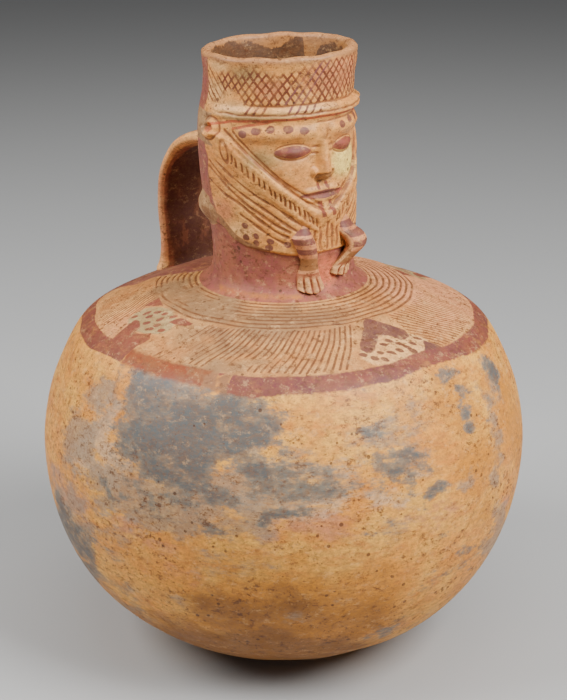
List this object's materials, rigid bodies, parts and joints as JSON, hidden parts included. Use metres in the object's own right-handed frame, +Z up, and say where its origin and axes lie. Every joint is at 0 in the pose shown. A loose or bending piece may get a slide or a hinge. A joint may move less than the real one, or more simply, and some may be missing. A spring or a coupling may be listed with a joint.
{
  "type": "anthropomorphic jar",
  "caption": "Hollow round clay jar whose tall neck is modelled as a head with short arms, with a strap handle behind.",
  "frame": {"origin": "on the ground, at the middle of the flat spot under the round body", "axes": "+Z up along the body's axis; the face looks along -Y and the handle stands at +Y"},
  "size_m": [0.2104, 0.2104, 0.2634],
  "materials": {
    "burnished_clay": "burnished earthenware with worn red and cream slip"
  },
  "bodies": {
    "root": {"jar": "burnished_clay"}
  },
  "joints": []
}
